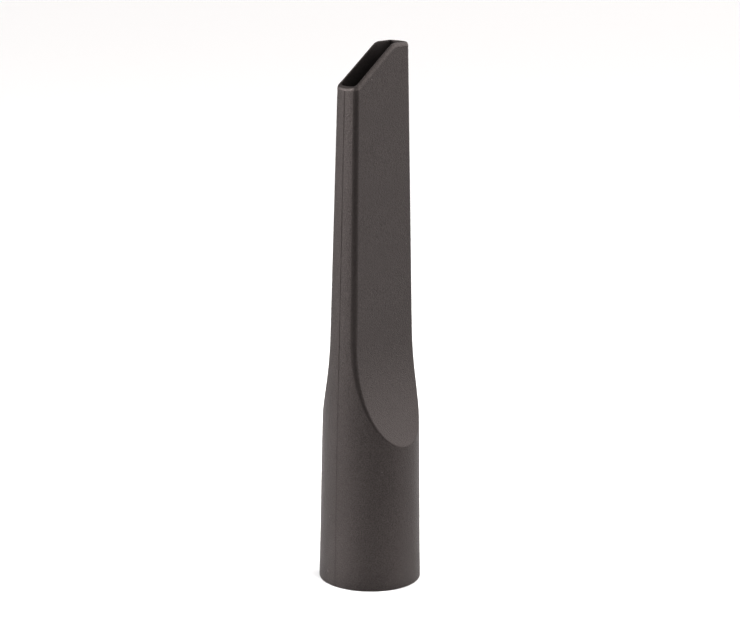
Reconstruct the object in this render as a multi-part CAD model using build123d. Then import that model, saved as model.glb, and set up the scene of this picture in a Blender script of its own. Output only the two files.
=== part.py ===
from build123d import *
import math
import os

# Crevice nozzle of a vacuum cleaner: one injection-moulded piece with a through air duct.
# Millimetres. The origin is the centre of the socket rim and +Z runs up to the mouth.
# +X points at the long edge of the blade, and Y crosses the blade's thickness.
#
# The outside is a slender cone that tapers a little faster above the socket. Two faces
# trim it to a flat blade, and near its foot each face scoops outwards until it runs out
# of the cone and leaves it round. The duct is the same shape again, one wall smaller,
# above a straight seat for the tube.

TOTAL_HEIGHT = 212.0
RIM_RADIUS = 20.0                # outside, at the socket rim
SHOULDER_Z = 57.5                # top of the round socket, where the taper quickens
SHOULDER_RADIUS = 19.1
TIP_RADIUS = 15.5                # half the blade's width at the top

SCOOP_TOP_Z = 98.5               # the straight blade face ends here and the scoop starts
SCOOP_RADIUS = 80.0
SCOOP_SWEEP = 38.0               # degrees, enough to run clear of the cone
ROOT_HALF_THICKNESS = 6.8        # blade, outside, at the top of the scoop
TIP_HALF_THICKNESS = 5.1         # blade, outside, at the top
CREASE_RADIUS = 2.6              # where a blade face meets the round edge

ROOT_WALL = 2.0                  # blade wall at the scoop
TIP_WALL = 1.3                   # blade wall at the mouth
DUCT_CREASE_RADIUS = 0.7

SEAT_RADIUS = 17.5               # straight seat for a 35 mm tube
SEAT_DEPTH = 32.0                # the tube stops on the ledge here
LEDGE_WIDTH = 1.0
LEAD_IN = 0.8                    # chamfer into the seat
RIM_EDGE_RADIUS = 0.6            # outer edge of the socket rim

MOUTH_SLOPE = 36.0               # degrees from horizontal
MOUTH_LOW_Z = 196.2              # where the slant meets the short edge of the blade
MOUTH_BEND_RADIUS = 5.0          # from the slant into the flat land at the top
MOUTH_EDGE_RADIUS = 1.0          # outer edge of the mouth

OVERRUN = 8.0                    # how far a cutting shape runs past what it cuts


def turned(*corners):
    """Solid of revolution about Z through (radius, height) corners, closed on the axis."""
    outline = Polyline((0, corners[0][1]), *corners, (0, corners[-1][1]), close=True)
    return revolve(Plane.XZ * make_face(outline), Axis.Z)


def slab(root_half, tip_half, scoop_radius):
    """Solid between the two blade faces: straight above, scooped out to the sides below."""
    flank = Line((tip_half, TOTAL_HEIGHT), (root_half, SCOOP_TOP_Z))
    scoop = JernArc(flank @ 1, flank % 1, scoop_radius, SCOOP_SWEEP)
    top = flank @ 0 - (flank % 0) * OVERRUN
    foot = scoop @ 1
    rest = Polyline(foot, (foot.X, -OVERRUN), (0, -OVERRUN), (0, top.Y), top, flank @ 0)
    half = make_face([flank, scoop, rest])
    outline = Plane.YZ * (half + mirror(half, Plane.YZ))
    return extrude(outline, RIM_RADIUS + OVERRUN, both=True)


def flattened_cone(sides, slab_solid, crease_radius):
    """Cone trimmed by the blade faces, with the long creases between them rounded."""
    (low_radius, low_z), (tip_radius, tip_z) = sides[-2:]
    taper = (low_radius - tip_radius) / (tip_z - low_z)
    end = (tip_radius - taper * OVERRUN, tip_z + OVERRUN)
    body = turned(*sides[:-1], end) & slab_solid
    edges = body.edges()
    creases = edges.filter_by(GeomType.HYPERBOLA) + edges.filter_by(GeomType.BSPLINE)
    return fillet(creases, crease_radius)


def above_mouth():
    """Everything above the mouth: a slant up from the short edge, then a flat land."""
    reach = RIM_RADIUS + OVERRUN
    rise_per_run = math.tan(math.radians(MOUTH_SLOPE))
    above_low = (TOTAL_HEIGHT - MOUTH_LOW_Z) / (TOTAL_HEIGHT - SHOULDER_Z)
    low_x = -TIP_RADIUS - (SHOULDER_RADIUS - TIP_RADIUS) * above_low
    bend_x = low_x + (TOTAL_HEIGHT - MOUTH_LOW_Z) / rise_per_run
    start = (-reach, MOUTH_LOW_Z + (-reach - low_x) * rise_per_run)
    end = (reach, TOTAL_HEIGHT)
    roof = TOTAL_HEIGHT + 2 * OVERRUN
    cut = FilletPolyline(start, (bend_x, TOTAL_HEIGHT), end, radius=MOUTH_BEND_RADIUS)
    rest = Polyline(end, (reach, roof), (-reach, roof), start)
    return extrude(Plane.XZ * make_face([cut, rest]), reach, both=True)


def outside():
    """Outer shape with no duct: mouth cut, and the edges of both ends rounded."""
    sides = ((RIM_RADIUS, 0), (SHOULDER_RADIUS, SHOULDER_Z), (TIP_RADIUS, TOTAL_HEIGHT))
    faces = slab(ROOT_HALF_THICKNESS, TIP_HALF_THICKNESS, SCOOP_RADIUS)
    body = flattened_cone(sides, faces, CREASE_RADIUS) - above_mouth()
    mouth_edges = [edge for edge in body.edges() if edge.bounding_box().min.Z > MOUTH_LOW_Z - 1]
    body = fillet(mouth_edges, MOUTH_EDGE_RADIUS)
    return fillet(body.edges().group_by(Axis.Z)[0], RIM_EDGE_RADIUS)


def duct():
    """Air passage: straight seat with a lead-in, a ledge, then the flattened cone."""
    sides = ((SEAT_RADIUS - LEDGE_WIDTH, SEAT_DEPTH), (TIP_RADIUS - TIP_WALL, TOTAL_HEIGHT))
    faces = slab(ROOT_HALF_THICKNESS - ROOT_WALL, TIP_HALF_THICKNESS - TIP_WALL,
                 SCOOP_RADIUS + ROOT_WALL)
    seat = turned((SEAT_RADIUS + LEAD_IN, 0), (SEAT_RADIUS, LEAD_IN), (SEAT_RADIUS, SEAT_DEPTH))
    return seat + flattened_cone(sides, faces, DUCT_CREASE_RADIUS)


os.makedirs("parts", exist_ok=True)
nozzle_body = outside() - duct()
nozzle_body.label = "nozzle_body"
export_step(nozzle_body, "parts/nozzle_body.step")
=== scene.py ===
import math
import bpy
import numpy as np
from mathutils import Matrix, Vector


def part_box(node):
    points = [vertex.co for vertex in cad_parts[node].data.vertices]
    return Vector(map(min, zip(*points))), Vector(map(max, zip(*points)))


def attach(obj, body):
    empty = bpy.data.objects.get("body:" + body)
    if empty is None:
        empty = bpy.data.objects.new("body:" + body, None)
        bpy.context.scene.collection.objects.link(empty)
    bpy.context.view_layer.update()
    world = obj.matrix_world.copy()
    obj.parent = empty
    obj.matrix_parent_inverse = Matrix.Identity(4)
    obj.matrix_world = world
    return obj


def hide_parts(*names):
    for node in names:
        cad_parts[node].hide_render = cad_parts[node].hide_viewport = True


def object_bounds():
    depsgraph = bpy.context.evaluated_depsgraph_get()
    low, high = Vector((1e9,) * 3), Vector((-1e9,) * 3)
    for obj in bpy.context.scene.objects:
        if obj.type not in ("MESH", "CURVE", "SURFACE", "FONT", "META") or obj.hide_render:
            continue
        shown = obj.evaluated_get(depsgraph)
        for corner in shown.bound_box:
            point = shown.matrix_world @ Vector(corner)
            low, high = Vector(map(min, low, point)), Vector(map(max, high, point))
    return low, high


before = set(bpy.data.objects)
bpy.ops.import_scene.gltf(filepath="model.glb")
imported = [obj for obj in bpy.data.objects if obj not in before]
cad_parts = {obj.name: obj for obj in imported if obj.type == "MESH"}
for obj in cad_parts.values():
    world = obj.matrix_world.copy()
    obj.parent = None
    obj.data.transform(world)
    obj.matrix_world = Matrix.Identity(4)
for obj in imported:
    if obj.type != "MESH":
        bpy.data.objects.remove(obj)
cad_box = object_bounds()


# ---- Camera ----
# A long lens, a little above the mouth and looking slightly down, as for a product on a table.

camera_azimuth = math.radians(-47.4)
camera_distance = 0.900
camera_height = 0.3151
camera_dip = math.radians(13.08)
camera_yaw = math.radians(0.04)
camera_roll = math.radians(0.42)
camera_data = bpy.data.cameras.new("camera")
camera_data.sensor_width = 36.0
camera_data.lens = 115.6
camera_data.clip_end = 50.0
camera = bpy.data.objects.new("camera", camera_data)
camera.location = (
    math.sin(camera_azimuth) * camera_distance,
    -math.cos(camera_azimuth) * camera_distance,
    camera_height,
)
camera.rotation_euler = (math.pi / 2 - camera_dip, 0, camera_azimuth + camera_yaw)
camera.rotation_euler.rotate_axis("Z", camera_roll)
bpy.context.scene.collection.objects.link(camera)
bpy.context.scene.camera = camera


# ---- Nozzle body ----
# One injection moulding in dark warm-grey polypropylene, pushed onto a vacuum tube: a hollow
# cone that two faces trim to a flat blade. The mould leaves a parting line down both narrow
# sides, and there is a small round nib near the rim. Sizes are in mm.

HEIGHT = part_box("nozzle_body")[1].z * 1000
RIM_RADIUS = 19.9995             # a hair inside the CAD body's 20
RIM_EDGE = 0.6                   # outer edge of the rim, rounded
SHOULDER, SHOULDER_RADIUS = 57.5, 19.1
TIP_RADIUS = 15.5
SCOOP_TOP = 98.5                 # the flat of the blade ends here and the scoop starts
SCOOP_RADIUS = 80.0
ROOT_HALF, TIP_HALF = 6.8, 5.1   # half the blade's thickness at the scoop and at the mouth
ROOT_WALL, TIP_WALL = 2.0, 1.3
MOUTH_LOW = 196.2
MOUTH_SLOPE = math.tan(math.radians(36.0))
MOUTH_BEND = 5.0                 # radius from the slant into the flat land
MOUTH_EDGE = 1.0                 # outer edge of the mouth, measured across the lip
MOUTH_EDGE_DROP = 1.75           # how many times further it reaches down the outside
DUCT_EDGE = 0.2                  # inner edge of the mouth
SEAT_RADIUS = 17.5
SEAT_DEPTH = 32.0
LEDGE = 1.0
BLADE_WALL_START = 180.0         # from here up, rows of quads follow the mouth's slant
QUARTER = 60                     # columns of quads in a quarter of the way round
EDGE_ROWS = 8                    # rows of quads in the mouth's outer edge


def smooth(value, low, high):
    """0 at low and 1 at high, level beyond them and an S between; low may be the larger."""
    t = np.clip((value - low) / (high - low), 0, 1)
    return t * t * (3 - 2 * t)


class Skin:
    """A cone trimmed by two scooped faces, with rounded creases between them.

    sides are the cone's (radius, height) corners, and creases are heights with a radius each.
    """

    def __init__(self, sides, root_half, tip_half, scoop, creases):
        self.cones = []
        for (low_radius, low_z), (high_radius, high_z) in zip(sides, sides[1:]):
            self.cones.append((low_radius, low_z, (low_radius - high_radius) / (high_z - low_z)))
        self.taper = self.cones[-1][2]
        self.draft = (root_half - tip_half) / (HEIGHT - SCOOP_TOP)
        self.root_half, self.scoop = root_half, scoop
        lean = math.atan(self.draft)
        self.centre_y = root_half + scoop * math.cos(lean)
        self.centre_z = SCOOP_TOP + scoop * math.sin(lean)
        self.creases = creases

    def rounded(self, radius, angle, z):
        """Signed distance outside the trimmed cone, with its crease rolled round."""
        y = np.abs(radius * np.sin(angle))
        cone = np.max([(radius - foot_radius + taper * (z - foot_z)) / math.hypot(1, taper)
                       for foot_radius, foot_z, taper in self.cones], axis=0)
        flat = (y - self.root_half + self.draft * (z - SCOOP_TOP)) / math.hypot(1, self.draft)
        reach = np.hypot(self.centre_y - y, self.centre_z - z)
        on_scoop = z < self.centre_z - (self.centre_y - y) * self.draft
        face = np.where(on_scoop, self.scoop - reach, flat)
        lift = np.where(on_scoop, (self.centre_z - z) / reach, self.draft)
        across = np.sqrt(1 - lift ** 2)
        cosine = np.abs(np.sin(angle)) * across + self.taper * lift
        cosine = np.minimum(cosine / math.hypot(1, self.taper), 0.9999)
        crease = np.interp(z, *self.creases)
        a, b = cone + crease, face + crease
        ball = np.sqrt(np.maximum(a * a + b * b - 2 * a * b * cosine, 0) / (1 - cosine ** 2))
        return np.where(b < a * cosine, cone, np.where(a < b * cosine, face, ball - crease))

    def radius(self, angle, z):
        """Distance of the skin from the axis, found by halving."""
        low = np.zeros(np.broadcast(angle, z).shape)
        high = np.full(low.shape, self.cones[0][0] + 5.0)
        for _ in range(36):
            middle = (low + high) / 2
            outside = self.rounded(middle, angle, z) > 0
            high = np.where(outside, middle, high)
            low = np.where(outside, low, middle)
        return (low + high) / 2


outer_skin = Skin([(RIM_RADIUS, 0), (SHOULDER_RADIUS, SHOULDER), (TIP_RADIUS, HEIGHT)],
                  ROOT_HALF, TIP_HALF, SCOOP_RADIUS,
                  creases=([58, 80, 105, HEIGHT], [1.1, 2.0, 2.5, 2.1]))
duct_skin = Skin([(SEAT_RADIUS - LEDGE, SEAT_DEPTH), (TIP_RADIUS - TIP_WALL, HEIGHT)],
                 ROOT_HALF - ROOT_WALL, TIP_HALF - TIP_WALL, SCOOP_RADIUS + ROOT_WALL,
                 creases=([0, HEIGHT], [0.7, 0.7]))


def ring(skin, z):
    """x and y of every column at one height: closer together at creases and seams."""
    angle = np.linspace(0, math.pi / 2, 1201)
    r = skin.radius(angle, np.full(angle.shape, float(z)))
    x, y = r * np.cos(angle), r * np.sin(angle)
    step = np.hypot(np.diff(x), np.diff(y))
    heading = np.unwrap(np.arctan2(np.diff(y), np.diff(x)))
    turn = np.abs(np.gradient(heading)) / step
    travelled = np.concatenate([[0], np.cumsum(step)])
    middle = (travelled[1:] + travelled[:-1]) / 2
    at_crease = np.minimum(turn, 1.0)
    at_seam = np.exp(-(middle / 0.55) ** 2)
    share = 1 + 9.0 * at_crease + 5.0 * at_seam
    share = np.convolve(np.pad(share, 12, mode="edge"), np.ones(25) / 25, mode="valid")
    weight = np.concatenate([[0], np.cumsum(share * step)])
    at = np.interp(np.linspace(0, weight[-1], QUARTER + 1), weight, travelled)
    qx, qy = np.interp(at, travelled, x), np.interp(at, travelled, y)
    qx[-1], qy[0] = 0.0, 0.0
    x = np.concatenate([qx[:-1], -qx[:0:-1], -qx[:-1], qx[:0:-1]])
    y = np.concatenate([qy[:-1], qy[:0:-1], -qy[:-1], -qy[:0:-1]])
    return np.stack([x, y], 1)


def mouth_height(x):
    """Height of the mouth above x: the slant, a round bend, then the flat land."""
    low_x = -TIP_RADIUS - outer_skin.taper * (HEIGHT - MOUTH_LOW)
    bend_x = low_x + (HEIGHT - MOUTH_LOW) / MOUTH_SLOPE
    slope_angle = math.atan(MOUTH_SLOPE)
    reach = MOUTH_BEND * math.tan(slope_angle / 2)
    slant = MOUTH_LOW + (x - low_x) * MOUTH_SLOPE
    dip = bend_x + reach - np.minimum(x, bend_x + reach)
    bend = HEIGHT - MOUTH_BEND + np.sqrt(np.maximum(MOUTH_BEND ** 2 - dip ** 2, 0))
    return np.where(x < bend_x - reach * math.cos(slope_angle), slant, bend)


def unit(v):
    """The same directions at length 1."""
    return v / np.linalg.norm(v, axis=-1, keepdims=True)


def dot(a, b):
    """Dot product of each pair of rows, as a column."""
    return (a * b).sum(-1, keepdims=True)


class Wall:
    """The upper part of one skin as columns, which can be read at any height."""

    def __init__(self, skin):
        self.levels = np.linspace(BLADE_WALL_START, HEIGHT + 0.5, 34)
        self.rings = np.array([ring(skin, z) for z in self.levels])

    def at(self, heights):
        """Points of all columns, each at its own height."""
        place = (heights - self.levels[0]) / (self.levels[1] - self.levels[0])
        step = np.clip(place.astype(int), 0, len(self.levels) - 2)
        share = (place - step)[:, None]
        column = np.arange(len(heights))
        xy = self.rings[step, column] * (1 - share) + self.rings[step + 1, column] * share
        return np.column_stack([xy, heights])

    def top(self):
        """Where each column meets the mouth."""
        heights = np.full(self.rings.shape[1], HEIGHT)
        for _ in range(8):
            heights = mouth_height(self.at(heights)[:, 0])
        return self.at(heights)


def corner_lengths(corner, down, inward, radius):
    """How far a rolled edge reaches down the wall and inward along the mouth."""
    along = unit(np.roll(corner, -1, 0) - np.roll(corner, 1, 0))
    wall_way = down - dot(down, along) * along
    mouth_way = inward - dot(inward, along) * along
    opening = np.arccos(np.clip(dot(unit(wall_way), unit(mouth_way)), -1, 1))
    reach = radius * np.tan((math.pi - opening) / 2)
    sides = [reach / np.linalg.norm(way, axis=1, keepdims=True) for way in (wall_way, mouth_way)]
    return sides[0], sides[1], np.sin(opening / 2)


def rolled(start, corner, end, weight, count):
    """Rows of an arc that rounds the corner between start and end."""
    rows = []
    for t in np.linspace(0, 1, count):
        a, b, c = (1 - t) ** 2, 2 * weight * t * (1 - t), t ** 2
        rows.append((a * start + b * corner + c * end) / (a + b + c))
    return rows


def level_rows(skin, heights):
    """Level rows of one skin, one at each height."""
    return [np.column_stack([ring(skin, z), np.full(4 * QUARTER, z)]) for z in heights]


def spans(*stops):
    """Heights between stops, each a height and how many rows lead up to the next one."""
    heights = []
    for (low, count), (high, _) in zip(stops, stops[1:]):
        heights += list(np.linspace(low, high, count, endpoint=False))
    return heights


def outer_rows(wall, top, reach_down):
    """The outside from the rounded socket rim up to the start of the mouth's rolled edge."""
    rows = []
    foot = ring(outer_skin, RIM_EDGE)
    for turn in np.radians([-90, -72, -54, -36, -18]):
        shrink = 1 - RIM_EDGE * (1 - math.cos(turn)) / RIM_RADIUS
        height = RIM_EDGE * (1 + math.sin(turn))
        rows.append(np.column_stack([foot * shrink, np.full(len(foot), height)]))
    rows += level_rows(outer_skin, spans((RIM_EDGE, 6), (3, 24), (9, 24), (51, 6), (54, 32),
                                         (64, 50), (98, 42), (BLADE_WALL_START, 0)))
    low = wall.levels[0]
    for share in np.sin(np.linspace(0, math.pi / 2, 30)):
        rows.append(wall.at(low + (top[:, 2] - reach_down - low) * share))
    return rows


def duct_rows(wall, heights_at_top):
    """The duct from just below the mouth down to the ledge, then the seat and its lead-in."""
    rows = []
    low = wall.levels[0]
    for share in np.sin(np.linspace(math.pi / 2, 0, 16))[:-1]:
        rows.append(wall.at(low + (heights_at_top - low) * share))
    duct_foot = SEAT_DEPTH + 0.3
    heights = spans((duct_foot, 8), (55, 14), (64, 26), (94, 22), (BLADE_WALL_START + 0.01, 0))
    rows += level_rows(duct_skin, [BLADE_WALL_START] + heights[::-1])
    inner = unit(ring(duct_skin, duct_foot))
    ledge = ((-0.95, 0.1), (-0.8, 0), (-0.4, 0), (-0.1, -0.02), (0, -0.2), (0, -1.0))
    profile = [(out, SEAT_DEPTH + up) for out, up in ledge]
    profile += [(0, z) for z in (26, 20, 14, 8, 3, 1.2)]
    profile += [(0.03, 0.9), (0.25, 0.62), (0.6, 0.25), (0.8, 0.08), (0.92, 0), (1.3, 0)]
    for out, z in profile:
        rows.append(np.column_stack([inner * (SEAT_RADIUS + out), np.full(len(inner), z)]))
    return rows


def nozzle_rows():
    """Rows up the outside from the rim, and rows over the mouth and down the duct to the rim."""
    outer_wall, duct_wall = Wall(outer_skin), Wall(duct_skin)
    top, duct_top = outer_wall.top(), duct_wall.top()
    inward = unit(duct_top - top)
    down = unit(outer_wall.at(top[:, 2] - 3) - top)
    duct_down = unit(duct_wall.at(duct_top[:, 2] - 3) - duct_top)
    down_by, in_by, weight = corner_lengths(top, down, inward, MOUTH_EDGE)
    down_by = MOUTH_EDGE_DROP * down_by
    duct_down_by, out_by, duct_weight = corner_lengths(duct_top, duct_down, -inward, DUCT_EDGE)

    outer_end = outer_wall.at(top[:, 2] + (down_by * down)[:, 2])
    lip_start = top + in_by * inward
    lip_end = duct_top - out_by * inward
    for lip in (lip_start, lip_end):
        lip[:, 2] = mouth_height(lip[:, 0])
    duct_start = duct_wall.at(duct_top[:, 2] + (duct_down_by * duct_down)[:, 2])

    outside = outer_rows(outer_wall, top, -(down_by * down)[:, 2])
    lip = rolled(outer_end, top, lip_start, weight, EDGE_ROWS + 1)[1:]
    lip += rolled(lip_end, duct_top, duct_start, duct_weight, 4)
    return outside, lip + duct_rows(duct_wall, duct_start[:, 2])[1:]


def on_socket(z):
    """1 on the round socket, 0 on the blade and changing over along the scoop."""
    return smooth(z, 95, 60)


def moulding_marks(rows):
    """Height of the mould's marks on the outside, in mm: parting lines, nib and sink."""
    x, y, z = rows[..., 0], rows[..., 1], rows[..., 2]
    uneven = 0.75 + 0.25 * np.sin(z * 0.21) * np.sin(z * 0.067 + 1.3)
    groove_depth, groove_width = 0.17 - 0.05 * on_socket(z), 0.16
    marks = -groove_depth * uneven * np.exp(-(y / groove_width) ** 2)
    step_height, step_width = 0.03, 0.5
    marks += step_height * np.exp(-np.abs(y) / step_width) * (y * np.sign(x) > 0)

    nib_height, nib_z, nib_turn = 0.30, 5.6, math.radians(12)
    nib_top, nib_foot = 0.35, 0.85
    across = (np.arctan2(y, -x) - nib_turn) * RIM_RADIUS
    from_nib = np.hypot(across, z - nib_z)
    marks += np.where(x < 0, nib_height * (1 - smooth(from_nib, nib_top, nib_foot)), 0)

    sink_depth = 0.06
    on_face = np.abs(y) > 3.0
    marks += np.where(on_face, -sink_depth * np.cos(x / 11) * smooth(z, 60, 110), 0)
    return marks * smooth(z, RIM_EDGE, 3.0)


def bend(points, normal, axis):
    """How sharply the surface turns up the columns (axis 0) or along the rows (axis 1).

    It is per mm, and an outward edge is positive.
    """
    ahead, behind = points[2:] - points[1:-1], points[:-2] - points[1:-1]
    if axis:
        ahead, behind = np.roll(points, -1, 1) - points, np.roll(points, 1, 1) - points
    far, near = np.linalg.norm(ahead, axis=-1), np.linalg.norm(behind, axis=-1)
    middle = normal if axis else normal[1:-1]
    turn = -((unit(ahead) + unit(behind)) * middle).sum(-1) / (0.5 * (far + near))
    return turn if axis else np.pad(turn, ((1, 1), (0, 0)), mode="edge")


def outside_marks(points, edges, marks):
    """Shares from 0 to 1 on the outside: rubbed by handling, in the seam, on a crease; the seam
    and crease shares carry painted shade.
    """
    y, z = points[..., 1], points[..., 2]
    from_middle = np.abs(z - 100)
    rubbed = smooth(edges, 0.5, 0.95) * smooth(from_middle, 70, 90) + smooth(marks, 0.05, 0.25)
    # The seam share marks painted shade along the parting line's groove, standing in for the
    # groove's own shadow.
    shaded_seam = np.exp(-(y / 0.24) ** 2) * (1 - 0.3 * on_socket(z))
    # The crease share marks painted shade on the rounded creases between the cone and the faces.
    crease = smooth(edges, 0.15, 0.34) * smooth(from_middle, 98, 92)
    return rubbed, shaded_seam, crease


def nozzle_mesh():
    """The whole skin as one closed grid of quads, with its surface marked for the material."""
    outside, inside = nozzle_rows()
    outside = np.array(outside)
    along = np.gradient(outside, axis=0)
    around = np.roll(outside, -1, 1) - np.roll(outside, 1, 1)
    normal = unit(np.cross(around, along))
    edges = np.maximum(bend(outside, normal, 0), bend(outside, normal, 1))
    marks = moulding_marks(outside)
    end = len(outside)
    fade = smooth(np.arange(end), end - 1, end - 6)[:, None, None]
    outside = outside + fade * marks[..., None] * normal

    points = np.concatenate([outside, np.array(inside)])
    rows, columns = points.shape[:2]
    index = np.arange(rows * columns).reshape(rows, columns)
    right, above = np.roll(index, -1, 1), np.roll(index, -1, 0)
    quads = np.stack([index, right, np.roll(right, -1, 0), above], -1).reshape(-1, 4)
    mesh = bpy.data.meshes.new("nozzle_body_shape")
    mesh.from_pydata((points.reshape(-1, 3) / 1000).tolist(), [], quads.tolist())
    mesh.shade_smooth()

    shares = {name: np.zeros((rows, columns)) for name in ("rubbed", "shaded_seam", "crease", "duct")}
    for name, values in zip(shares, outside_marks(outside, edges, marks)):
        shares[name][:end] = values
    shares["rubbed"][end:end + EDGE_ROWS] = np.linspace(0.9, 0.2, EDGE_ROWS)[:, None]
    shares["duct"][end + EDGE_ROWS + 1:] = 1
    for name, values in shares.items():
        mesh.attributes.new(name, "FLOAT", "POINT").data.foreach_set("value", values.ravel())
    return mesh


nozzle = bpy.data.objects.new("crevice_nozzle", nozzle_mesh())
bpy.context.scene.collection.objects.link(nozzle)


class NodeSheet:
    """The nodes of one material, with short names for the kinds that it uses."""

    def __init__(self, material):
        self.nodes, self.links = material.node_tree.nodes, material.node_tree.links
        self.place = self.nodes.new("ShaderNodeTexCoord").outputs["Object"]

    def feed(self, socket, value):
        """Link value into the socket, or set it there if it is a plain number or colour."""
        if isinstance(value, bpy.types.NodeSocket):
            self.links.new(value, socket)
        else:
            socket.default_value = value

    def maths(self, operation, first, second):
        """One sum or comparison of two values, each of them a socket or a number."""
        node = self.nodes.new("ShaderNodeMath")
        node.operation = operation
        self.feed(node.inputs[0], first)
        self.feed(node.inputs[1], second)
        return node.outputs[0]

    def noise(self, size_mm, detail, stretch=1.0):
        """Noise from 0 to 1 with lumps of one size, drawn out along Z by stretch."""
        squeeze = self.nodes.new("ShaderNodeMapping")
        squeeze.inputs["Scale"].default_value = (1, 1, 1 / stretch)
        self.links.new(self.place, squeeze.inputs["Vector"])
        node = self.nodes.new("ShaderNodeTexNoise")
        node.inputs["Scale"].default_value = 1000 / size_mm
        node.inputs["Detail"].default_value = detail
        self.links.new(squeeze.outputs["Vector"], node.inputs["Vector"])
        return node.outputs["Fac"]

    def cells(self, size_mm):
        """Random cells: the outputs are each cell's Color and the Distance from its middle."""
        node = self.nodes.new("ShaderNodeTexVoronoi")
        node.inputs["Scale"].default_value = 1000 / size_mm
        self.links.new(self.place, node.inputs["Vector"])
        return node.outputs

    def span(self, value, low, high, to_low, to_high):
        """value rescaled so that low to high becomes to_low to to_high, and held there."""
        node = self.nodes.new("ShaderNodeMapRange")
        self.feed(node.inputs["Value"], value)
        for name, number in (("From Min", low), ("From Max", high),
                             ("To Min", to_low), ("To Max", to_high)):
            node.inputs[name].default_value = number
        return node.outputs["Result"]

    def blend(self, share, first, second):
        """Colour that goes from first to second as share goes from 0 to 1."""
        node = self.nodes.new("ShaderNodeMix")
        node.data_type = "RGBA"
        self.feed(node.inputs["Factor"], share)
        self.feed(node.inputs[6], first)
        self.feed(node.inputs[7], second)
        return node.outputs[2]

    def marked(self, name, strength=1.0):
        """One of the shares marked on the mesh, times strength."""
        node = self.nodes.new("ShaderNodeAttribute")
        node.attribute_name = name
        return self.maths("MULTIPLY", node.outputs["Fac"], strength)


def plastic_colour(sheet, grain):
    """Warm grey mottled by the grain, with painted shade in the seam and creases, pale where it is
    rubbed.
    """
    clouds = sheet.span(sheet.noise(14.0, 2.0), 0.3, 0.7, 0.46, 0.54)
    tone = sheet.maths("ADD", sheet.span(grain, 0.3, 0.7, -0.6, 0.6), clouds)
    colour = sheet.blend(tone, (0.0170, 0.0148, 0.0144, 1), (0.0490, 0.0429, 0.0416, 1))
    # Painted shade: the parting line's groove is darkened in the base colour.
    colour = sheet.blend(sheet.marked("shaded_seam", 0.7), colour, (0.0150, 0.0125, 0.0120, 1))
    # Painted shade: the creases are darkened in the base colour.
    colour = sheet.blend(sheet.marked("crease", 0.7), colour, (0.0120, 0.0100, 0.0096, 1))
    patchy = sheet.span(sheet.noise(1.6, 2.0), 0.35, 0.65, 0.15, 0.6)
    rub = sheet.maths("MULTIPLY", sheet.marked("rubbed"), patchy)
    colour = sheet.blend(rub, colour, (0.1000, 0.0875, 0.0850, 1))

    dust = sheet.cells(5.0)
    dusty = sheet.maths("GREATER_THAN", dust["Color"], 0.62)
    specks = sheet.maths("MULTIPLY", dusty, sheet.span(dust["Distance"], 0.03, 0.06, 1.0, 0.0))
    return sheet.blend(sheet.maths("MULTIPLY", specks, 0.55), colour, (0.16, 0.14, 0.135, 1))


def plastic_roughness(sheet, grain):
    """Satin-matt: duller in the seam and in lengthwise scuffs, smoother where worn or inside."""
    scuffs = sheet.span(sheet.noise(0.5, 2.0, stretch=30.0), 0.60, 0.72, 0.0, 0.08)
    rough = sheet.maths("ADD", sheet.span(grain, 0.3, 0.7, 0.42, 0.60), scuffs)
    rough = sheet.maths("ADD", rough, sheet.marked("shaded_seam", 0.2))
    for name, smoother in (("rubbed", 0.08), ("crease", 0.10), ("duct", 0.06)):
        rough = sheet.maths("SUBTRACT", rough, sheet.marked(name, smoother))
    return rough


def plastic_relief(sheet, grain):
    """Normal of the spark-eroded grain, which is fainter inside the duct."""
    pits = sheet.cells(0.55)["Distance"]
    height = sheet.maths("ADD", grain, sheet.maths("MULTIPLY", pits, 0.5))
    height = sheet.maths("MULTIPLY", height, sheet.span(sheet.marked("duct"), 0.0, 1.0, 1.0, 0.25))
    bump = sheet.nodes.new("ShaderNodeBump")
    bump.inputs["Strength"].default_value = 1.0
    bump.inputs["Distance"].default_value = 0.00012
    sheet.links.new(height, bump.inputs["Height"])
    return bump.outputs["Normal"]


def plastic():
    """Matt dark warm-grey plastic with a fine spark-eroded grain."""
    material = bpy.data.materials.new("grey_plastic")
    material.use_nodes = True
    shader = material.node_tree.nodes["Principled BSDF"]
    shader.inputs["Specular IOR Level"].default_value = 0.44
    shader.inputs["Specular Tint"].default_value = (1.0, 0.87, 0.84, 1)
    sheet = NodeSheet(material)
    grain = sheet.noise(0.42, 3.0)
    sheet.feed(shader.inputs["Base Color"], plastic_colour(sheet, grain))
    sheet.feed(shader.inputs["Roughness"], plastic_roughness(sheet, grain))
    sheet.feed(shader.inputs["Normal"], plastic_relief(sheet, grain))
    return material


nozzle.data.materials.append(plastic())
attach(nozzle, "root")
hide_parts("nozzle_body")


# ---- Floor ----
# A plain white table top, large enough to fill the view behind the nozzle.

reach = 12.0
floor_mesh = bpy.data.meshes.new("floor")
corners = [(-reach, -reach, 0), (reach, -reach, 0), (reach, reach, 0), (-reach, reach, 0)]
floor_mesh.from_pydata(corners, [], [(0, 1, 2, 3)])
floor = bpy.data.objects.new("floor", floor_mesh)
bpy.context.scene.collection.objects.link(floor)
floor_paint = bpy.data.materials.new("floor_paint")
floor_paint.use_nodes = True
floor_shader = floor_paint.node_tree.nodes["Principled BSDF"]
floor_shader.inputs["Base Color"].default_value = (0.9, 0.9, 0.9, 1)
floor_shader.inputs["Roughness"].default_value = 0.9
floor.data.materials.append(floor_paint)


# ---- Light ----
# A dark studio with a broad patch of light high on the right, which also whitens the table.
# Two soft boxes on the left light the narrow side, two on the right light the wide face and
# the mouth's edge, and two small spots on the table light the socket's foot from below.

def from_camera(turn, rise):
    """Unit direction that many degrees round from the camera, to its right, and above level."""
    azimuth, height = camera_azimuth + math.radians(turn), math.radians(rise)
    return Vector((math.sin(azimuth) * math.cos(height), -math.cos(azimuth) * math.cos(height),
                   math.sin(height)))


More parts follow.
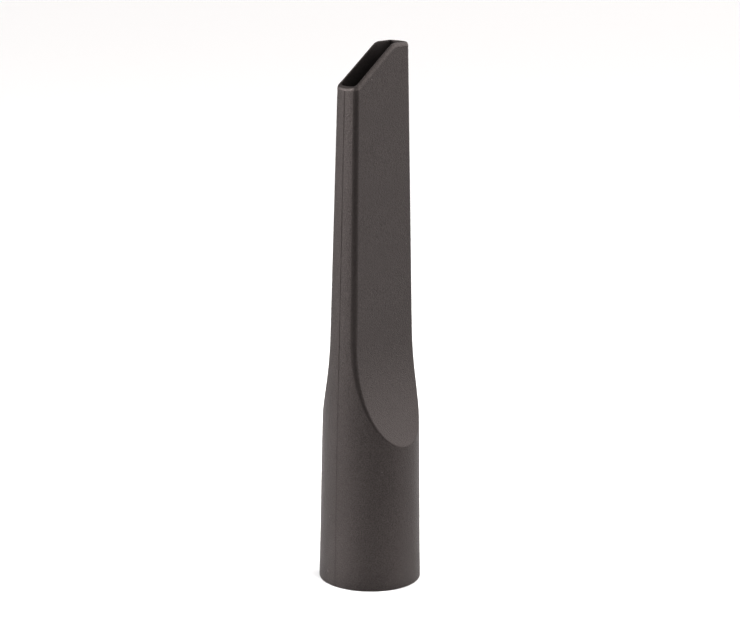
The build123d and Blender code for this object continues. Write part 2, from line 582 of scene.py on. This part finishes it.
def studio():
    """Near darkness, but for one soft-edged patch of faintly warm light."""
    world = bpy.data.worlds.new("studio")
    world.use_nodes = True
    nodes, links = world.node_tree.nodes, world.node_tree.links
    towards = nodes.new("ShaderNodeVectorMath")
    towards.operation = "DOT_PRODUCT"
    towards.inputs[1].default_value = from_camera(108, 38)
    links.new(nodes.new("ShaderNodeTexCoord").outputs["Generated"], towards.inputs[0])
    patch = nodes.new("ShaderNodeMapRange")
    patch.interpolation_type = "SMOOTHSTEP"
    patch.inputs["From Min"].default_value = math.cos(math.radians(68))
    patch.inputs["From Max"].default_value = math.cos(math.radians(15))
    patch.inputs["To Min"].default_value = 0.06
    patch.inputs["To Max"].default_value = 2.05
    links.new(towards.outputs["Value"], patch.inputs["Value"])
    links.new(patch.outputs["Result"], nodes["Background"].inputs["Strength"])
    nodes["Background"].inputs["Color"].default_value = (1.0, 0.982, 0.976, 1)
    return world


def soft_box(name, turn, distance, height, size, brightness):
    """A rectangular lamp that faces the middle of the nozzle, equally bright at any size."""
    lamp = bpy.data.lights.new(name, "AREA")
    lamp.shape = "RECTANGLE"
    lamp.size, lamp.size_y = size
    lamp.energy = brightness * math.pi * size[0] * size[1]
    box = bpy.data.objects.new(name, lamp)
    box.location = from_camera(turn, 0) * distance + Vector((0, 0, height))
    middle = Vector((0, 0, cad_box[1].z / 2))
    box.rotation_euler = (middle - box.location).to_track_quat("-Z", "Y").to_euler()
    bpy.context.scene.collection.objects.link(box)


def table_spot(name, turn, watts):
    """A lamp straight above the table beside the nozzle, whose round patch misses the nozzle."""
    lamp_height, from_axis, patch_radius = 0.9, 0.062, 0.042
    lamp = bpy.data.lights.new(name, "SPOT")
    lamp.energy = watts
    lamp.spot_size = 2 * math.atan(patch_radius / lamp_height)
    lamp.spot_blend = 0.3
    lamp.shadow_soft_size = 0.01
    spot = bpy.data.objects.new(name, lamp)
    spot.location = from_camera(turn, 0) * from_axis + Vector((0, 0, lamp_height))
    bpy.context.scene.collection.objects.link(spot)


bpy.context.scene.world = studio()
table_spot("left_table_spot", -50, watts=30)
table_spot("right_table_spot", 50, watts=13)
soft_box("large_soft_box", -76, distance=1.2, height=0.30, size=(0.6, 0.8), brightness=3.2)
soft_box("mouth_soft_box", -76, distance=0.5, height=0.45, size=(0.25, 0.30), brightness=12.0)
soft_box("right_soft_box", 95, distance=0.8, height=0.45, size=(0.4, 0.4), brightness=1.6)
soft_box("edge_soft_box", 60, distance=0.8, height=0.80, size=(0.25, 0.25), brightness=4.0)
display = bpy.context.scene.view_settings
display.view_transform = "Standard"
display.exposure = 0.585
display.gamma = 0.8
